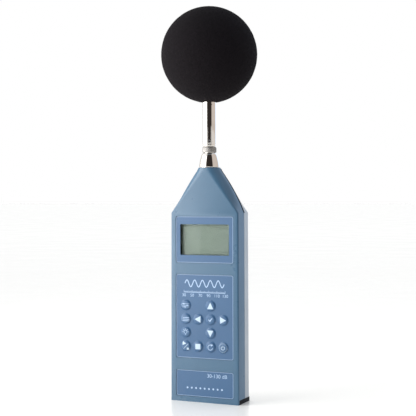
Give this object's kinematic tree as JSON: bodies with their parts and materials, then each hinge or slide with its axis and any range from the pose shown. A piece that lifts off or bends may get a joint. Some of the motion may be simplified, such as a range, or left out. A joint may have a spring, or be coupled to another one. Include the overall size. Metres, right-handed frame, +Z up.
{
  "type": "sound level meter",
  "caption": "Hand-held sound level meter: flat case with tapered nose, recessed display, round keys, chromed preamplifier tube and a foam ball windshield.",
  "frame": {"origin": "middle of the base on the ground plane, directly under the microphone axis", "axes": "+Z up along the microphone axis, -Y out of the display and keypad, +X to the right seen from the front"},
  "size_m": [0.0906, 0.0906, 0.3695],
  "materials": {
    "case_blue": "satin",
    "rear_grey": "satin",
    "film_blue": "satin",
    "key_blue": "satin",
    "panel_black": "matte",
    "chrome": "polished",
    "brass": "satin",
    "steel": "satin",
    "foam": "matte",
    "window_clear": "gloss",
    "lcd_green": "satin",
    "light_white": "satin",
    "rubber_grey": "matte",
    "board_green": "satin",
    "chip_black": "satin",
    "cell_wrap": "satin",
    "insulator_white": "satin"
  },
  "bodies": {
    "case": {"analog_shield": "steel", "battery_1": "cell_wrap", "battery_2": "cell_wrap", "battery_3": "cell_wrap", "battery_4": "cell_wrap", "battery_bridge": "steel", "battery_plate": "steel", "battery_spring": "steel", "battery_tray": "chip_black", "case_screw_lower_left": "steel", "case_screw_lower_right": "steel", "case_screw_upper_left": "steel", "case_screw_upper_right": "steel", "dc_jack": "chip_black", "display_overlay": "film_blue", "display_window": "window_clear", "dome_sheet": "rubber_grey", "door_pin_left": "steel", "door_pin_right": "steel", "end_panel": "panel_black", "front_shell": "case_blue", "io_socket": "chip_black", "keypad_overlay": "film_blue", "lcd_backlight": "light_white", "lcd_bezel": "chip_black", "lcd_glass": "lcd_green", "lower_overlay": "film_blue", "main_board": "board_green", "nose_cone": "chrome", "nose_nut": "brass", "output_jack": "chrome", "preamp_socket": "chip_black", "processor_chip": "chip_black", "rear_shell": "rear_grey", "socket_pin": "brass", "tripod_insert": "brass"},
    "preamplifier": {"preamp_tube": "chrome", "preamp_screw": "steel", "preamp_board": "board_green", "preamp_contact": "brass", "mic_capsule": "chrome", "mic_insulator": "insulator_white", "mic_backplate": "brass", "mic_diaphragm": "steel", "mic_grid": "steel"},
    "locking_ring": {"locking_ring": "chrome"},
    "windshield": {"windshield": "foam"},
    "battery_door": {"battery_door": "rear_grey"},
    "key_setup": {"key_setup": "key_blue"},
    "key_menu": {"key_menu": "key_blue"},
    "key_light": {"key_light": "key_blue"},
    "key_play_pause": {"key_play_pause": "key_blue"},
    "key_left": {"key_left": "key_blue"},
    "key_stop": {"key_stop": "key_blue"},
    "key_up": {"key_up": "key_blue"},
    "key_ok": {"key_ok": "key_blue"},
    "key_down": {"key_down": "key_blue"},
    "key_reset": {"key_reset": "key_blue"},
    "key_right": {"key_right": "key_blue"},
    "key_power": {"key_power": "key_blue"}
  },
  "joints": [
    {"name": "preamplifier_lift", "type": "slide", "parent": "case", "child": "preamplifier", "axis": [0, 0, 1], "range_m": [0, 0.025]},
    {"name": "locking_ring_turn", "type": "hinge", "parent": "preamplifier", "child": "locking_ring", "pos_m": [0, 0, 0.2354], "axis": [0, 0, 1], "range_deg": [0, 720]},
    {"name": "windshield_pull", "type": "slide", "parent": "preamplifier", "child": "windshield", "axis": [0, 0, 1], "range_m": [0, 0.06]},
    {"name": "battery_door_hinge", "type": "hinge", "parent": "case", "child": "battery_door", "pos_m": [0, 0.0122, 0.0121], "axis": [-1, 0, 0], "range_deg": [0, 100]},
    {"name": "key_setup_press", "type": "slide", "parent": "case", "child": "key_setup", "axis": [0, 1, 0], "range_m": [0, 0.0005], "stiffness_N_per_m": 1500, "springref_m": -0.0004},
    {"name": "key_menu_press", "type": "slide", "parent": "case", "child": "key_menu", "axis": [0, 1, 0], "range_m": [0, 0.0005], "stiffness_N_per_m": 1500, "springref_m": -0.0004},
    {"name": "key_light_press", "type": "slide", "parent": "case", "child": "key_light", "axis": [0, 1, 0], "range_m": [0, 0.0005], "stiffness_N_per_m": 1500, "springref_m": -0.0004},
    {"name": "key_play_pause_press", "type": "slide", "parent": "case", "child": "key_play_pause", "axis": [0, 1, 0], "range_m": [0, 0.0005], "stiffness_N_per_m": 1500, "springref_m": -0.0004},
    {"name": "key_left_press", "type": "slide", "parent": "case", "child": "key_left", "axis": [0, 1, 0], "range_m": [0, 0.0005], "stiffness_N_per_m": 1500, "springref_m": -0.0004},
    {"name": "key_stop_press", "type": "slide", "parent": "case", "child": "key_stop", "axis": [0, 1, 0], "range_m": [0, 0.0005], "stiffness_N_per_m": 1500, "springref_m": -0.0004},
    {"name": "key_up_press", "type": "slide", "parent": "case", "child": "key_up", "axis": [0, 1, 0], "range_m": [0, 0.0005], "stiffness_N_per_m": 1500, "springref_m": -0.0004},
    {"name": "key_ok_press", "type": "slide", "parent": "case", "child": "key_ok", "axis": [0, 1, 0], "range_m": [0, 0.0005], "stiffness_N_per_m": 1500, "springref_m": -0.0004},
    {"name": "key_down_press", "type": "slide", "parent": "case", "child": "key_down", "axis": [0, 1, 0], "range_m": [0, 0.0005], "stiffness_N_per_m": 1500, "springref_m": -0.0004},
    {"name": "key_reset_press", "type": "slide", "parent": "case", "child": "key_reset", "axis": [0, 1, 0], "range_m": [0, 0.0005], "stiffness_N_per_m": 1500, "springref_m": -0.0004},
    {"name": "key_right_press", "type": "slide", "parent": "case", "child": "key_right", "axis": [0, 1, 0], "range_m": [0, 0.0005], "stiffness_N_per_m": 1500, "springref_m": -0.0004},
    {"name": "key_power_press", "type": "slide", "parent": "case", "child": "key_power", "axis": [0, 1, 0], "range_m": [0, 0.0005], "stiffness_N_per_m": 1500, "springref_m": -0.0004}
  ]
}
